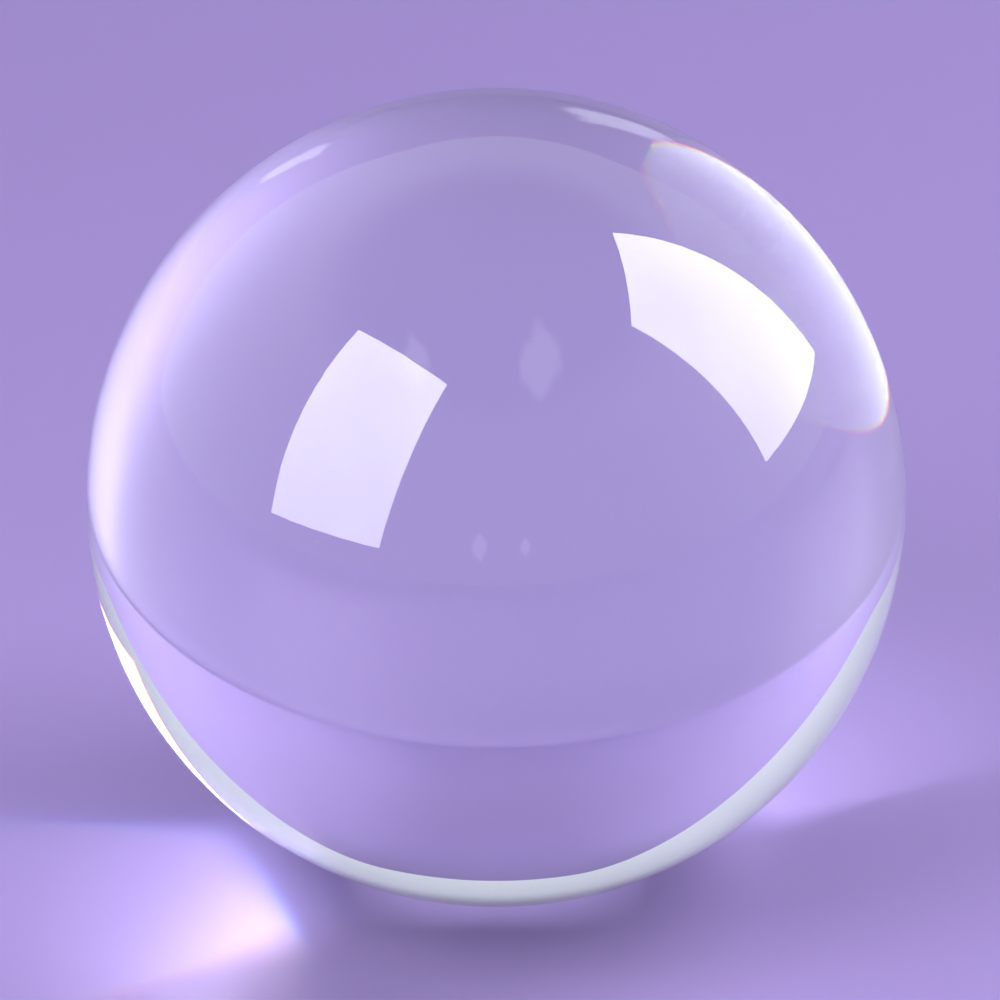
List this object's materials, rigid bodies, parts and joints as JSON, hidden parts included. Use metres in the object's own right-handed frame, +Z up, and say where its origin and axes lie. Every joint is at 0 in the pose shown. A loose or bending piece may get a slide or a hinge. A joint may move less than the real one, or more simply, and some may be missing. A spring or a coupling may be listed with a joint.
{
  "type": "crystal ball",
  "caption": "Solid ball of clear polished optical glass, for gazing, stage magic, contact juggling or refracting a view.",
  "frame": {"origin": "lowest point of the ball, where it touches what it rests on", "axes": "+Z up through the ball's centre, which is half a diameter above the origin; every other direction is alike"},
  "size_m": [0.1, 0.1, 0.1],
  "materials": {
    "crystal": "polished"
  },
  "bodies": {
    "root": {"ball": "crystal"}
  },
  "joints": []
}
